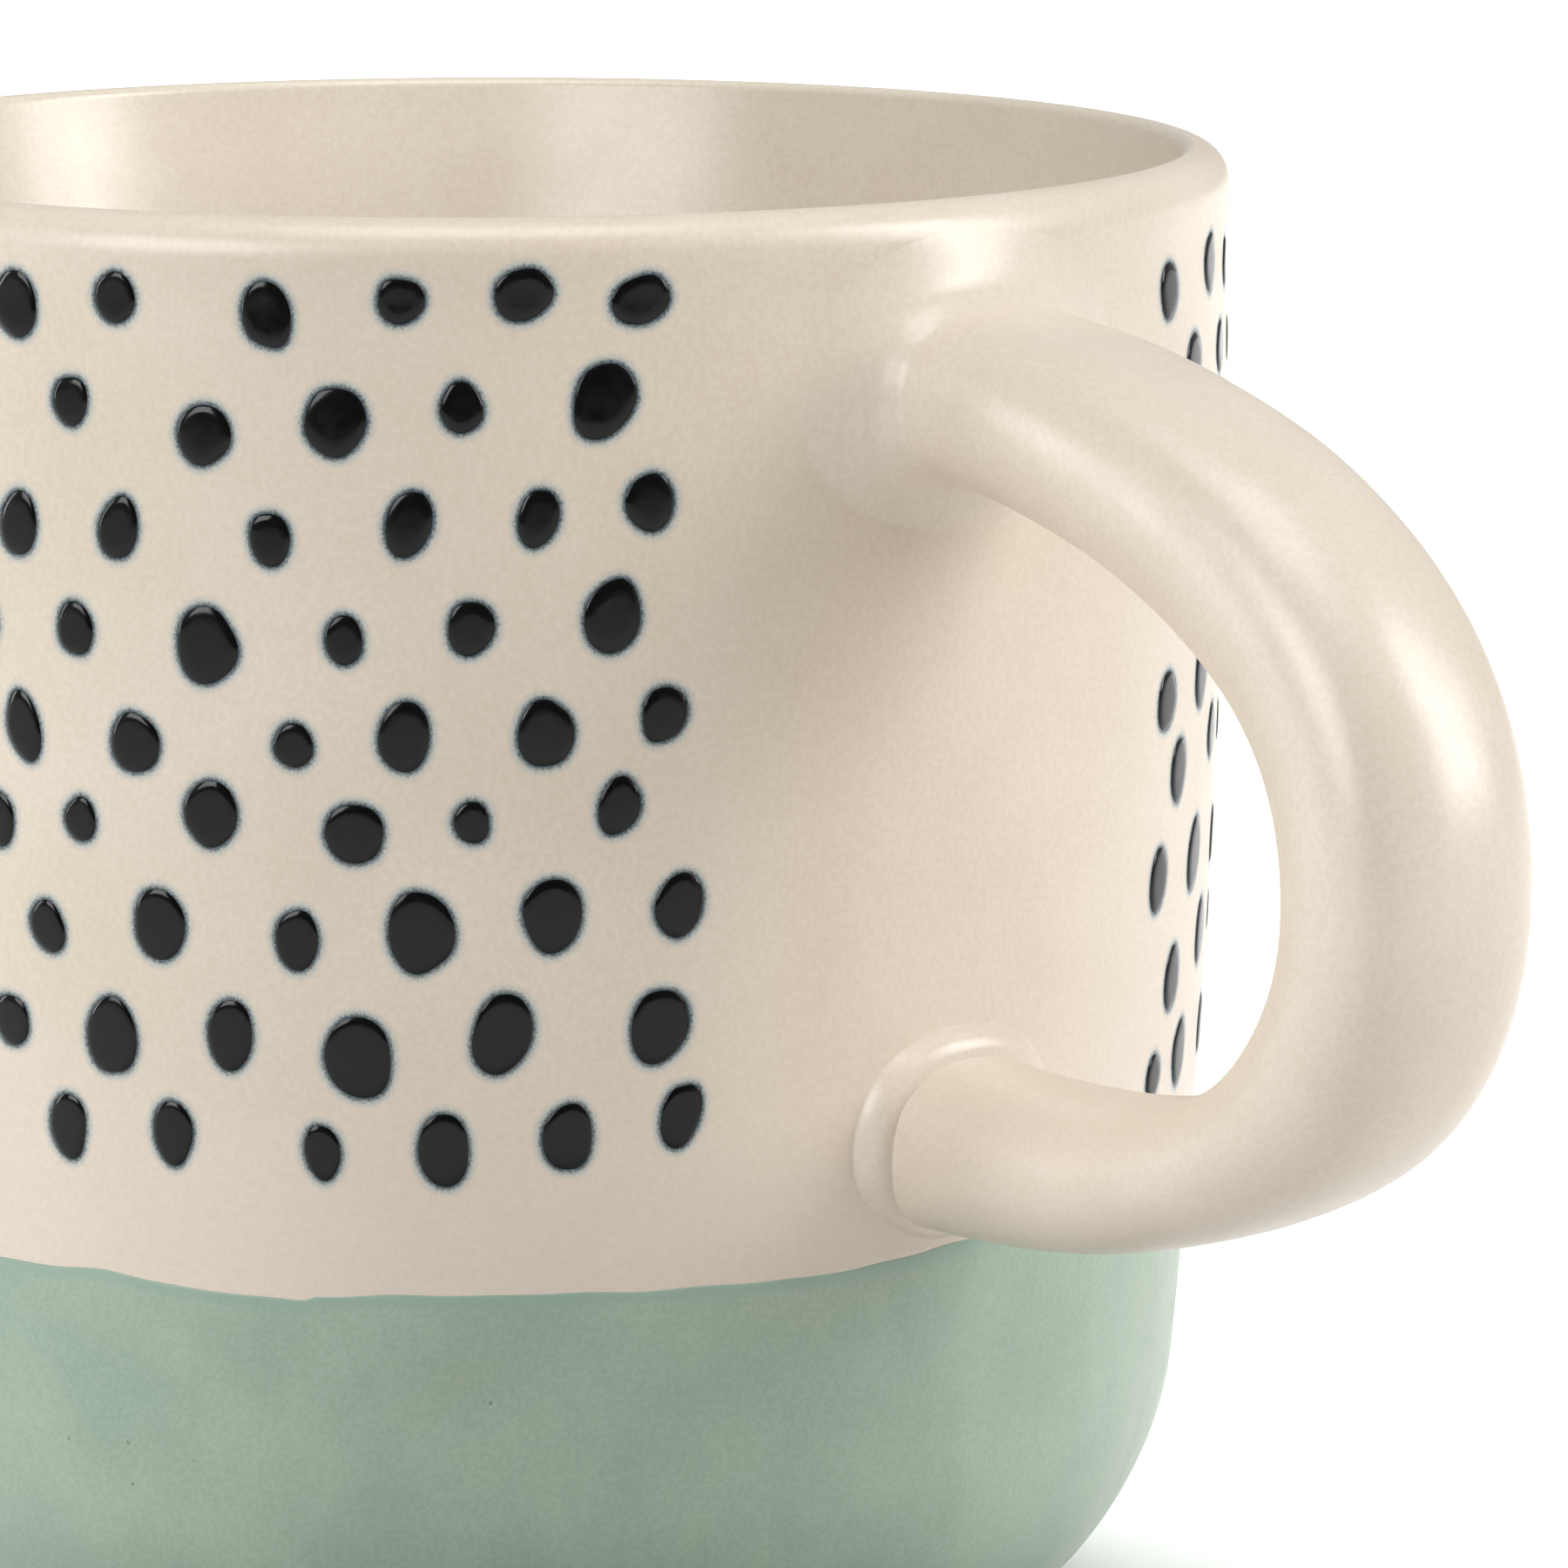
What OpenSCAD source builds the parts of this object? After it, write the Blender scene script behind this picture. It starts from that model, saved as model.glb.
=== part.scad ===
// Stoneware mug: a rounded cup with a looped handle, dipped in two glazes and painted with raised spots.
// Millimetres, +Z up. The origin is the middle of the foot on the cup's axis, and the handle points along +X.

/* [Cup] */
// Height from the foot to the top of the lip
height = 92; // [80:1:112]
// Outside diameter of the glazed wall just under the lip
body_d = 91; // [76:1:110]
// Thickness of the clay wall
clay_t = 3.2; // [2.4:0.1:4.5]
// Thickness of each coat of glaze
glaze_t = 0.4; // [0.2:0.05:0.6]
// How much the rounded lip stands proud of each face of the wall
lip_swell = 0.2; // [0:0.05:0.6]
// Drop from the lip to where the wall stands upright
upright_drop = 14; // [8:1:24]
// Radius of the wall's long, slow curve
wall_curve_r = 660; // [450:10:1200]
// Radius of the rounded bottom corner, outside
corner_r = 20; // [15:1:22]
// Height of that corner's centre
corner_z = 19.5; // [14:0.5:21]
// Radius of the rounded bottom corner, inside
inside_corner_r = 14; // [8:1:17]
// Height where the cream glaze ends and the green dip starts
dip_z = 31; // [22:1:34]

/* [Foot] */
// Outside diameter of the bare foot ring
foot_d = 62; // [50:1:64]
// Width of the foot ring
foot_w = 5; // [3:0.5:8]
// Height of the bare foot ring below the glaze
foot_h = 1.5; // [0.8:0.1:2]
// Depth of the recess inside the foot ring
recess_h = 2.2; // [1.6:0.1:3]
// Bare margin between the foot ring and the glaze in the recess
recess_margin = 0.8; // [0.3:0.1:2]
// Thickness of the clay floor over the recess
floor_t = 4; // [3:0.5:7]

/* [Handle] */
// Drop from the lip to the handle's middle line at its upper joint
handle_top_drop = 10.4; // [8.8:0.2:20]
// Height of the handle's middle line at its lower joint
handle_low_z = 37.8; // [31:0.2:46]
// Reach of the handle's middle line beyond the wall
handle_reach = 34.7; // [28:0.5:44]
// Height of the handle's furthest point
handle_bow_z = 57.5; // [50:0.5:64]
// Run of the upper arm before it turns down
upper_run = 19.6; // [12:0.2:26]
// Fall of the upper arm along that run
upper_fall = 2.2; // [0:0.2:5]
// Length of the upper bend's pull above the furthest point
upper_pull = 14.5; // [9:0.5:18]
// Run of the lower arm before it turns up
lower_run = 24.8; // [14:0.2:28]
// Sag of the lower arm along that run
lower_sag = 1; // [0:0.2:3]
// Length of the lower bend's pull below the furthest point
lower_pull = 12.5; // [9:0.5:16]
// Width of the clay handle, side to side
handle_w = 13.4; // [10:0.2:17]
// Thickness of the clay handle on its upper bend, where it is heaviest
handle_t = 10.8; // [8:0.2:13]

/* [Slip joints] */
// How far the slip spreads over the wall around the upper joint
upper_spread = 0.9; // [0.5:0.1:1.6]
// How far the slip runs out along the handle from the upper joint
upper_runout = 4.5; // [2:0.5:7]
// How far the slip spreads over the wall around the lower joint
lower_spread = 0.6; // [0.4:0.1:1.6]
// How far the slip runs out along the handle from the lower joint
lower_runout = 2.5; // [1.5:0.5:5]

/* [Spots] */
// Rows of spots
spot_rows = 9; // [3:1:9]
// Height of the lowest row where it starts, beside the handle
spot_low_z = 40; // [39:0.5:46]
// Drop from the lip to the top row
spot_top_drop = 4.6; // [4.4:0.2:12]
// How far a row has sunk by the time it has gone round to the handle's other side
row_sag = 1.8; // [0:0.2:3]
// Spots in a full row around the cup
spot_count = 34; // [12:1:36]
// Half the angle of the plain strip behind the handle
plain_half_angle = 24.5; // [18:0.5:40]
// How far a spot stands proud of the cream glaze
spot_t = 0.25; // [0.1:0.05:0.4]
// Scale of every spot
spot_scale = 1; // [0.6:0.05:1.1]

/* [Hidden] */

// The finished wall has a coat of glaze on each face
wall_t = clay_t + 2 * glaze_t;
lip_r = wall_t / 2 + lip_swell;
lip_z = height - lip_r;
// How far the cutting shapes run past what they cut
past = 1;
// Sides of the circles that are turned about the axis, and of the wall's slow curve
turned_sides = 180;
curve_sides = 1080;

// Half sections lie in a plane where x is the radius. The wall's slow curve has its centre far outside it.
wall_centre = [body_d / 2 - wall_curve_r, height - upright_drop];

// Radius at height z of the wall's outer face moved inwards by inset
function wall_x(z, inset) =
  wall_centre.x + sqrt(pow(wall_curve_r - inset, 2) - pow(z - wall_centre.y, 2));

// Centre, at height z, of a corner arc of radius r that runs smoothly into that face
function corner_centre(r, z, inset) =
  [wall_centre.x + sqrt(pow(wall_curve_r - inset - r, 2) - pow(z - wall_centre.y, 2)), z];

// Height where a corner arc with this centre runs into that face
function tangent_z(centre, inset) =
  wall_centre.y + (centre.y - wall_centre.y) * (wall_curve_r - inset) / norm(centre - wall_centre);

outside_corner = corner_centre(corner_r, corner_z, 0);
floor_z = recess_h + floor_t + glaze_t;
inside_corner = corner_centre(inside_corner_r, floor_z + inside_corner_r, wall_t);
lip_centre = [wall_x(lip_z, wall_t / 2), lip_z];

// Radius of the finished outside at height z, with the lip's swell
function outside_x(z) =
  z > lip_z - lip_r && z < height
    ? max(wall_x(z, 0), lip_centre.x + sqrt(pow(lip_r, 2) - pow(z - lip_z, 2)))
    : wall_x(z, 0);

// Everything inside a smooth wall-and-corner outline, from base_z up to top_z
module outline(inset, centre, r, base_z, top_z) {
  join_z = tangent_z(centre, inset);
  intersection() {
    translate(wall_centre) circle(r = wall_curve_r - inset, $fn = curve_sides);
    translate([0, join_z]) square([body_d, top_z - join_z]);
  }
  intersection() {
    translate(centre) circle(r = r, $fn = turned_sides);
    translate([0, base_z]) square([body_d, join_z - base_z]);
  }
  translate([0, base_z]) square([centre.x, join_z - base_z]);
}

// The cup's outside, filled in, under a coat of the given thickness
module filled_section(coat) {
  outline(coat, outside_corner, corner_r - coat, foot_h, lip_z);
}

// The cup's hollow, before its own coat of glaze when coat is more than 0
module hollow_section(coat, top_z) {
  outline(wall_t - coat, inside_corner, inside_corner_r + coat, floor_z - coat, top_z);
}

// The cup's wall, floor and lip under a coat of the given thickness
module shell_section(coat) {
  difference() {
    filled_section(coat);
    hollow_section(coat, height + past);
  }
  translate(lip_centre) circle(r = lip_r - coat, $fn = turned_sides);
}

// The space inside the middle of the wall, which parts the inner coat from the outer one
module inner_half_section() {
  hollow_section(wall_t / 2, height + past);
}

// The outer coat of glaze between two heights
module outer_coat_section(low_z, high_z) {
  intersection() {
    difference() {
      shell_section(0);
      shell_section(glaze_t);
      inner_half_section();
    }
    translate([0, low_z]) square([body_d, high_z - low_z]);
  }
}

// The cup filled in solid under a coat, for trimming what is joined to it
module cup_fill(coat) {
  rotate_extrude($fn = turned_sides) {
    filled_section(coat);
    translate(lip_centre) circle(r = lip_r - coat, $fn = turned_sides);
    translate([0, lip_z]) square([lip_centre.x, lip_r - coat]);
  }
}

// Points on a cubic curve
function curve_point(p, t) =
  pow(1 - t, 3) * p[0] + 3 * t * pow(1 - t, 2) * p[1] + 3 * t * t * (1 - t) * p[2] + pow(t, 3) * p[3];
function curve_slope(p, t) =
  pow(1 - t, 2) * (p[1] - p[0]) + 2 * t * (1 - t) * (p[2] - p[1]) + t * t * (p[3] - p[2]);

// The handle's middle line, as x and z: one curve out to the furthest point and one back
upper_root = [wall_x(height - handle_top_drop, 0), height - handle_top_drop];
lower_root = [wall_x(handle_low_z, 0), handle_low_z];
bow = [body_d / 2 + handle_reach, handle_bow_z];
upper_curve = [
  upper_root, upper_root + [upper_run, -upper_fall], bow + [0, upper_pull], bow
];
lower_curve = [
  bow, bow - [0, lower_pull], lower_root + [lower_run, -lower_sag], lower_root
];

// Stations along the handle, 0 at the upper joint and 1 at the lower one, closer together near the joints.
// The first and last lie inside the wall, so that the joints can be trimmed to it.
arm_steps = 14;
crowding = 1.6;
root_depth = 0.8 * wall_t;
stations = concat(
  [-1],
  [for (i = [0:arm_steps]) 0.5 * pow(i / arm_steps, crowding)],
  [for (i = [1:arm_steps]) 1 - 0.5 * pow(1 - i / arm_steps, crowding)],
  [2]
);

function inward(curve, t) = curve_slope(curve, t) / norm(curve_slope(curve, t));
function middle(s) =
  s < 0 ? upper_root - root_depth * inward(upper_curve, 0)
  : s > 1 ? lower_root + root_depth * inward(lower_curve, 1)
  : s <= 0.5 ? curve_point(upper_curve, 2 * s)
  : curve_point(lower_curve, 2 * s - 1);
function heading(s) =
  s <= 0.5 ? inward(upper_curve, max(0, 2 * s)) : inward(lower_curve, min(1, 2 * s - 1));

// The handle's thickness and width along its length, as shares of the full sizes
thickness_along = [
  [0, 0.84], [0.08, 0.9], [0.25, 1], [0.4, 1], [0.5, 0.97], [0.65, 0.9], [0.78, 0.68], [0.88, 0.72], [1, 0.98]
];
width_along = [[0, 1.03], [0.3, 0.98], [0.6, 1], [1, 1]];

// Slip at station s: a hollow curve from its full spread at the wall to nothing at its run-out
function hollow_curve(u) = u >= 1 ? 0 : 1 - sqrt(1 - pow(1 - max(u, 0), 2));
function slip(s) =
  s < 0 ? upper_spread
  : s > 1 ? lower_spread
  : s <= 0.5 ? upper_spread * hollow_curve(norm(middle(s) - upper_root) / upper_runout)
  : lower_spread * hollow_curve(norm(middle(s) - lower_root) / lower_runout);

// One oval ring of the handle at station s, grown by extra on every side
ring_sides = 20;
function ring(s, extra) =
  let (
    m = middle(s),
    h = heading(s),
    half_t = handle_t * lookup(s, thickness_along) / 2 + extra,
    half_w = handle_w * lookup(s, width_along) / 2 + extra
  )
  [for (k = [0:ring_sides - 1])
    let (across = half_t * cos(360 * k / ring_sides))
    [m.x - h.y * across, half_w * sin(360 * k / ring_sides), m.y + h.x * across]
  ];

// Rings of the bare clay, of the clay with its slip, and of the glazed handle
function clay_rings(at) = [for (s = at) ring(s, 0)];
function slipped_rings(at) = [for (s = at) ring(s, slip(s))];
function glazed_rings(at) = [for (s = at) ring(s, slip(s) + glaze_t)];

function flat(lists) = [for (list = lists, item = list) item];

// Triangles between ring a and ring b of n points each, whose first points have these numbers
function band(a, b, n) =
  flat([for (k = [0:n - 1])
    let (next = (k + 1) % n)
    [[a + k, b + k, b + next], [a + k, b + next, a + next]]
  ]);
function flip(faces) = [for (f = faces) [f[2], f[1], f[0]]];

// A closed solid swept through rings
module sweep(rings) {
  n = ring_sides;
  last = len(rings) - 1;
  polyhedron(
    points = flat(rings),
    faces = concat(
      [[for (k = [n - 1:-1:0]) k]],
      flat([for (i = [0:last - 1]) flip(band(n * i, n * (i + 1), n))]),
      [[for (k = [0:n - 1]) n * last + k]]
    )
  );
}

// A closed tube between outer and inner rings, which run from the upper joint to the lower one unless
// backward is true. With one outer ring fewer, it ends in a feather edge.
module tube(outer, inner, backward = false) {
  n = ring_sides;
  outer_last = len(outer) - 1;
  inner_last = len(inner) - 1;
  inner_start = n * len(outer);
  faces = concat(
    flip(band(inner_start, 0, n)),
    flat([for (i = [0:outer_last - 1]) flip(band(n * i, n * (i + 1), n))]),
    flat([for (i = [0:inner_last - 1]) band(inner_start + n * i, inner_start + n * (i + 1), n)]),
    flip(band(n * outer_last, inner_start + n * inner_last, n))
  );
  polyhedron(points = flat(concat(outer, inner)), faces = backward ? flip(faces) : faces);
}

// The handle's clay and slip together, which the cup's glaze stops against
module handle_mass() {
  sweep(slipped_rings(stations));
}

// A point moved along a heading until it lies on the clay wall, closer with each pass
function to_wall(p, h, passes) =
  passes == 0 ? p
  : to_wall(p + [h.x, 0, h.y] * (sqrt(pow(wall_x(p.z, glaze_t), 2) - p.y * p.y) - p.x) / h.x, h, passes - 1);
function wall_ring(s, extra) = [for (p = ring(s, extra)) to_wall(p, heading(s), 4)];

// The stations that each joint's slip covers, from the wall out, and then the first bare one
last_station = len(stations) - 1;
upper_stations = [
  for (i = [1:arm_steps]) if (i == 1 || slip(stations[i - 1]) > 0) stations[i]
];
lower_stations = [
  for (i = [last_station - 1:-1:arm_steps + 2])
    if (i == last_station - 1 || slip(stations[i + 1]) > 0) stations[i]
];

// Slip around the handle's root, from the clay wall to a feather edge at the last of the stations given
module slip_joint(at, backward) {
  covered = [for (i = [0:len(at) - 2]) at[i]];
  tube(
    concat([wall_ring(at[0], slip(at[0]))], slipped_rings(covered)),
    concat([wall_ring(at[0], 0)], clay_rings(at)),
    backward
  );
}

// Spots nearest the handle on the front, row by row from the top and outwards from the handle.
// Each is [extra turn in degrees, extra rise, width, height, lean to the right in degrees].
near_spots = [
  [[2, 0.7, 2.9, 3.7, 24], [1, 0.8, 3.1, 3.2, 28], [0, 0.2, 2.6, 2.6, 0],
   [0, -0.7, 2.9, 3.7, -8], [2, 0, 2.5, 2.9, -5], [1, -0.7, 3.0, 3.8, -10]],
  [[0, 0.5, 3.4, 4.4, 20], [0.5, 0.2, 2.4, 2.8, 0], [0, -0.6, 3.5, 3.9, 5],
   [0, -1.5, 3.2, 3.4, 0], [1, 0, 2.3, 2.8, 0], [0, 0, 2.6, 3.0, 0]],
  [[1.5, 0.7, 2.8, 3.2, 10], [0, 0, 2.2, 3.4, 15], [-0.5, -0.3, 2.5, 3.9, 18],
   [0, -1.3, 2.4, 3.0, -5], [2, -1, 2.4, 3.7, 15], [1, -1.2, 2.5, 3.8, 5]],
  [[-0.5, 0.3, 3.1, 4.3, 15], [0, -0.2, 2.6, 3.1, 10], [-0.5, -0.9, 2.1, 2.9, 0],
   [0, -1.5, 3.6, 4.4, 0], [1, -1, 2.3, 3.1, -5], [0, -1, 2.6, 3.2, 0]],
  [[0.5, 0.6, 2.5, 3.3, 20], [-0.5, -0.2, 3.2, 3.8, 0], [0, -0.4, 2.9, 4.0, 6],
   [-1.5, -1, 2.3, 2.5, 0], [1, -1.3, 3.0, 3.5, 0], [1, -0.9, 2.3, 4.1, -10]],
  [[-1, 1.5, 2.4, 3.3, 15], [0, 0.7, 2.0, 2.4, 0], [-1, 0, 3.3, 3.5, 0],
   [0, 0.8, 3.1, 3.9, 6], [1, 0, 2.1, 2.5, 0], [-1, -0.5, 2.6, 3.2, 0]],
  [[-0.7, 1.6, 2.7, 3.8, 12], [-1, 1.3, 3.3, 4.3, 0], [-1, 0.3, 3.7, 4.8, 0],
   [-1.5, -0.2, 2.5, 3.5, 0], [-0.5, 0.3, 3.2, 4.1, 0], [-0.5, -0.5, 2.3, 3.1, -12]],
  [[-4, 0.6, 3.4, 4.3, 12], [-2, 0.4, 3.3, 4.8, 14], [-1, -1, 3.8, 4.8, 0],
   [-1, 0, 2.7, 4.1, 5], [-1, -0.6, 3.2, 4.6, 0], [-1.5, -0.4, 2.5, 3.0, 0]],
  [[-1, 1.2, 2.3, 3.9, 14], [-2, 0.3, 2.8, 4.0, 5], [-2.5, -0.4, 2.9, 4.3, 0],
   [-3, -0.6, 2.1, 3.2, -8], [-1, 0, 2.5, 3.7, 0], [-1.5, -0.2, 2.5, 3.8, 0]]
];

// Spots nearest the handle on the back, row by row from the top and outwards from the handle
far_spots = [
  [[0, -0.4, 2.6, 3.3, 4], [-0.6, 0.3, 2.8, 3.5, 6], [0.8, -0.5, 2.6, 3.2, 0]],
  [[-0.8, 0.8, 2.7, 3.4, 8], [-0.6, 0.7, 2.6, 3.3, 5]],
  [[0, 0, 2.8, 3.6, 4]],
  [[1, -1.5, 2.7, 3.6, 6]],
  [[-0.8, -1.1, 2.7, 3.6, 14], [0, -0.6, 2.9, 4.2, 6]],
  [[0.8, 0.2, 2.6, 3.9, 4], [-0.6, 1.1, 2.7, 3.5, 8]],
  [[-0.5, 0, 2.5, 3.9, 8], [0, 0.3, 2.9, 4.6, 12]],
  [[0, -0.7, 2.6, 4.0, 6], [0.5, 0.7, 2.8, 4.2, 4]],
  [[-1.7, -0.3, 2.2, 2.7, 6], [1.3, 0.1, 2.7, 4.1, 4]]
];

// Spots elsewhere differ from the usual spot by chance, the same way each time.
usual_spot = [0, 0, 2.8, 3.6, 4];
most_difference = [1.2, 0.7, 0.7, 0.8, 14];
luck = rands(-1, 1, len(usual_spot) * spot_rows * spot_count, 11);
function last_col(row) = spot_count - 1 - row % 2;
function spot_values(row, col) =
  let (col_from_end = last_col(row) - col)
  row < len(near_spots) && col < len(near_spots[row]) ? near_spots[row][col]
  : row < len(far_spots) && col_from_end < len(far_spots[row]) ? far_spots[row][col_from_end]
  : [for (i = [0:len(usual_spot) - 1])
      usual_spot[i] + most_difference[i] * luck[i + len(usual_spot) * (col + spot_count * row)]
    ];

// Rows are evenly spaced, and every second row is shifted by half a step.
spot_pitch = (height - spot_top_drop - spot_low_z) / (spot_rows - 1);
spot_step = (360 - 2 * plain_half_angle) / (spot_count - 1);
function spot_z(row, col) =
  height - spot_top_drop - row * spot_pitch - row_sag * pow(col / (spot_count - 1), 2);
function spot_turn(row, col) = plain_half_angle + spot_step * (col + (row % 2) / 2);

// One spot's ring of points, spread over the curved glaze
spot_sides = 8;
spot_crown = 0.8;
function spot_ring(row, col, share, lift) =
  let (
    v = spot_values(row, col),
    turn = -spot_turn(row, col) - v[0],
    z = spot_z(row, col) + v[1],
    degrees_per_mm = 180 / (PI * outside_x(z))
  )
  [for (k = [0:spot_sides - 1])
    let (
      across = share * spot_scale * v[2] / 2 * cos(360 * k / spot_sides),
      up = share * spot_scale * v[3] / 2 * sin(360 * k / spot_sides),
      right = across * cos(v[4]) + up * sin(v[4]),
      rise = up * cos(v[4]) - across * sin(v[4]),
      r = outside_x(z + rise) + lift,
      a = turn + right * degrees_per_mm
    )
    [r * cos(a), r * sin(a), z + rise]
  ];
function spot_faces(start) =
  let (n = spot_sides)
  concat(
    band(start, start + n, n),
    [for (k = [1:n - 2]) [start, start + k, start + k + 1]],
    [for (k = [1:n - 2]) [start + n, start + n + k + 1, start + n + k]]
  );

// All the spots on one side of the cup, each a separate low island of glaze
module spots(front) {
  places = flat([for (row = [0:spot_rows - 1])
    [for (col = [0:last_col(row)])
      if ((spot_turn(row, col) < 180) == front) [row, col]
    ]
  ]);
  polyhedron(
    points = flat([for (p = places)
      concat(spot_ring(p[0], p[1], 1, 0), spot_ring(p[0], p[1], spot_crown, spot_t))
    ]),
    faces = flat([for (i = [0:len(places) - 1]) spot_faces(2 * spot_sides * i)])
  );
}

module clay_body() {
  recess_r = foot_d / 2 - foot_w;
  color("burlywood") rotate_extrude($fn = turned_sides) {
    difference() {
      shell_section(glaze_t);
      square([recess_r, recess_h]);
    }
    translate([recess_r, 0]) square([foot_w, foot_h]);
  }
}

module clay_handle() {
  color("burlywood") difference() {
    sweep(clay_rings(stations));
    cup_fill(glaze_t);
  }
}

module upper_slip_joint() {
  color("tan") slip_joint(upper_stations, false);
}

module lower_slip_joint() {
  color("tan") slip_joint(lower_stations, true);
}

module liner_glaze() {
  color("oldlace") rotate_extrude($fn = turned_sides) intersection() {
    difference() {
      shell_section(0);
      shell_section(glaze_t);
    }
    inner_half_section();
  }
}

module cream_glaze() {
  color("antiquewhite") difference() {
    rotate_extrude($fn = turned_sides) outer_coat_section(dip_z, height);
    handle_mass();
  }
}

module handle_glaze() {
  color("antiquewhite") difference() {
    tube(glazed_rings(stations), slipped_rings(stations));
    cup_fill(0);
  }
}

// The green dip outside, and the coat of the same glaze inside the foot ring
module green_glaze() {
  color("darkseagreen") {
    difference() {
      rotate_extrude($fn = turned_sides) outer_coat_section(foot_h, dip_z);
      handle_mass();
    }
    translate([0, 0, recess_h - glaze_t])
      cylinder(r = foot_d / 2 - foot_w - recess_margin, h = glaze_t, $fn = turned_sides);
  }
}

module spots_front() {
  color([0.13, 0.13, 0.14]) spots(true);
}

module spots_back() {
  color([0.13, 0.13, 0.14]) spots(false);
}

clay_body();
clay_handle();
upper_slip_joint();
lower_slip_joint();
liner_glaze();
cream_glaze();
handle_glaze();
green_glaze();
spots_front();
spots_back();
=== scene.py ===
"""Stoneware mug, glazed in cream and green and painted with raised black spots.

Metres, +Z up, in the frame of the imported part: the origin is under the middle of the foot, and the
handle points along +X. An angle called turn runs about +Z from the handle.
"""

import math
import random

import bmesh
import bpy
import numpy as np
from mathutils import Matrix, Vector, noise


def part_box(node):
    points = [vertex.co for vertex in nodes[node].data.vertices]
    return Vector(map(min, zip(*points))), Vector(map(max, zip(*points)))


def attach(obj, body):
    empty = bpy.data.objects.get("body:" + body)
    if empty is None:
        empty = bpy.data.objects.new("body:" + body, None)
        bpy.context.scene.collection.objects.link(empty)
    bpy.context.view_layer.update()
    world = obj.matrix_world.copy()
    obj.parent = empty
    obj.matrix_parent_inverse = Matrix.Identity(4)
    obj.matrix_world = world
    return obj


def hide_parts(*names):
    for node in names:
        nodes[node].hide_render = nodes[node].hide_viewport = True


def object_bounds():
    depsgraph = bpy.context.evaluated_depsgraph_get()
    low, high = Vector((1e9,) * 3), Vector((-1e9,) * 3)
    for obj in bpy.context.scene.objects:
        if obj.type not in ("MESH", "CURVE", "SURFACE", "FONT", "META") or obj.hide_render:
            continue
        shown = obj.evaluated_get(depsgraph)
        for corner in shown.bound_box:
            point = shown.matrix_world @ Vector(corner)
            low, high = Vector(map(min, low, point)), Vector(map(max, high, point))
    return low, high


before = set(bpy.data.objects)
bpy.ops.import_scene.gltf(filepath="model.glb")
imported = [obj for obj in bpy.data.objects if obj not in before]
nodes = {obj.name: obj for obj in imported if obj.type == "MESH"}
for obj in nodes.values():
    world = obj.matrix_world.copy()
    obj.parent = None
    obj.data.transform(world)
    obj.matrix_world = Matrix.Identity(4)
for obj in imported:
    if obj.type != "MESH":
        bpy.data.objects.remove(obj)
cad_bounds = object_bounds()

MM = 0.001

# ---------------------------------------------------------------- sizes

# What the frame says
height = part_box("cream_glaze")[1].z
dip_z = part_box("cream_glaze")[0].z
liner_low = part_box("liner_glaze")[0].z
lip_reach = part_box("cream_glaze")[1].y
foot_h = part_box("green_glaze")[0].z

# The cup's section, as the design has it
glaze_t = 0.4 * MM
wall_t = 4 * MM
lip_swell = 0.2 * MM
lip_r = wall_t / 2 + lip_swell
lip_z = height - lip_r
upright_z = height - 14 * MM
wall_curve_r = 660 * MM
corner_r = 20 * MM
corner_z = 19.5 * MM
inside_corner_r = 14 * MM
foot_r = 31 * MM
foot_w = 5 * MM
recess_h = 2.2 * MM
recess_margin = 0.8 * MM
floor_z = liner_low + glaze_t

# The inside's flare towards a slender lip: the crest's radius, the flare's slope, where it starts and how
# far it takes to turn into the wall, and where the wall under it starts to thicken
crest_r = 0.7 * MM
flare_slope = 0.22
flare_z = 81 * MM
flare_turn = 4 * MM
thickening_z = 46 * MM

# The wall's long curve has its centre far outside the cup, at the height where the wall stands upright
lip_fall = wall_curve_r - math.sqrt(wall_curve_r ** 2 - (lip_z - upright_z) ** 2)
body_r = lip_reach - lip_swell + lip_fall
wall_centre_r = body_r - wall_curve_r


def smooth_step(low, high, value):
    t = np.clip((np.asarray(value, float) - low) / (high - low), 0, 1)
    return t * t * (3 - 2 * t)


def wall_radius(z, inset=0.0):
    """Radius of the wall's outer face, moved inwards by inset."""
    return wall_centre_r + np.sqrt((wall_curve_r - inset) ** 2 - (z - upright_z) ** 2)


def inside_radius(z, inset):
    """Radius of the inside at height z, moved outwards from the glaze by inset. The inside flares out
    towards a slender lip, and the wall is thickest just below the flare."""
    z = np.asarray(z, float)

    def flared(at_z):
        return lip_centre_r - crest_r - flare_slope * (height - crest_r - at_z)

    below = np.clip(flare_z - z, 0, flare_turn)
    turning = flare_slope * (below - below ** 2 / (2 * flare_turn))
    thickest = float(wall_radius(flare_z, wall_t)) - flared(flare_z)
    thicker = (thickest + turning) * smooth_step(thickening_z, flare_z - flare_turn, z)
    return np.where(z > flare_z, flared(z), wall_radius(z, wall_t) - thicker) + inset


def corner_centre_r(r, z, inset):
    """Radius at which a corner arc of radius r, centred at height z, runs smoothly into the wall."""
    return wall_centre_r + math.sqrt((wall_curve_r - inset - r) ** 2 - (z - upright_z) ** 2)


def tangent_height(centre_r, centre_z, inset):
    """Height at which that corner arc meets the wall."""
    reach = math.hypot(centre_r - wall_centre_r, centre_z - upright_z)
    return upright_z + (centre_z - upright_z) * (wall_curve_r - inset) / reach


outside_corner_r = corner_centre_r(corner_r, corner_z, 0)
outside_tangent_z = tangent_height(outside_corner_r, corner_z, 0)
inside_corner_z = floor_z + inside_corner_r
inside_corner_r0 = corner_centre_r(inside_corner_r, inside_corner_z, wall_t)
inside_tangent_z = tangent_height(inside_corner_r0, inside_corner_z, wall_t)
lip_centre_r = float(wall_radius(lip_z, wall_t / 2))


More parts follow.
